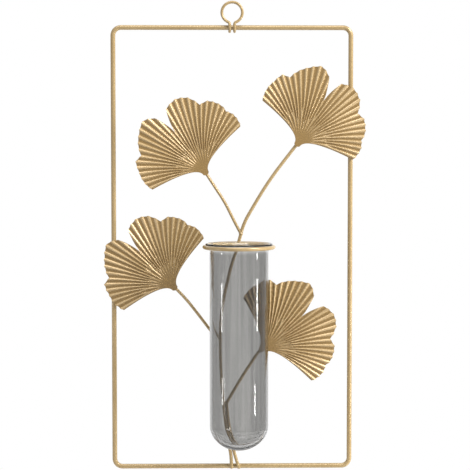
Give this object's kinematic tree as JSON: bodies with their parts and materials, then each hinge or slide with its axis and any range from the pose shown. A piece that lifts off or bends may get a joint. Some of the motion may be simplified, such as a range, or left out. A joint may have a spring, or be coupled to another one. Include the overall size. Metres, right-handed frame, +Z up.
{
  "type": "hanging wall vase",
  "caption": "Gold wire wall hanging: a rectangular frame on a small hanging eye, with a spray of ribbed fan leaves and a wire ring that holds a round-bottomed glass tube for stems.",
  "frame": {"origin": "centre of the hanging eye, where the nail goes", "axes": "+Z up, +X to the right of someone facing the wall, +Y into the wall, so the leaves and the tube face -Y"},
  "size_m": [0.1819, 0.0581, 0.327],
  "materials": {
    "gold_wire": "satin pale gold lacquer on steel wire",
    "gold_leaf": "satin antique gold on stamped sheet, brighter on the ribs",
    "gold_braze": "gold over a smooth braze bead",
    "tube_glass": "clear smoke-grey blown glass"
  },
  "bodies": {
    "hanger": {"hanging_ring": "gold_wire"},
    "frame": {"frame_wire": "gold_wire", "main_stem": "gold_wire", "upper_left_wire": "gold_wire", "lower_left_wire": "gold_wire", "lower_right_wire": "gold_wire", "vase_ring": "gold_wire", "leaf_upper_left": "gold_leaf", "leaf_upper_right": "gold_leaf", "leaf_lower_left": "gold_leaf", "leaf_lower_right": "gold_leaf", "upper_fork_braze": "gold_braze", "middle_fork_braze": "gold_braze", "lower_fork_braze": "gold_braze", "ring_braze": "gold_braze", "foot_braze": "gold_braze", "leaf_solder": "gold_braze", "right_bar_tack": "gold_braze", "left_bar_tack": "gold_braze"},
    "vase": {"glass_tube": "tube_glass"}
  },
  "joints": [
    {"name": "frame_swing", "type": "hinge", "parent": "hanger", "child": "frame", "pos_m": [0, 0.0028, -0.0102], "axis": [-1, 0, 0], "range_deg": [0, 70]},
    {"name": "tube_lift", "type": "slide", "parent": "frame", "child": "vase", "axis": [0, 0, 1], "range_m": [0, 0.142]}
  ]
}
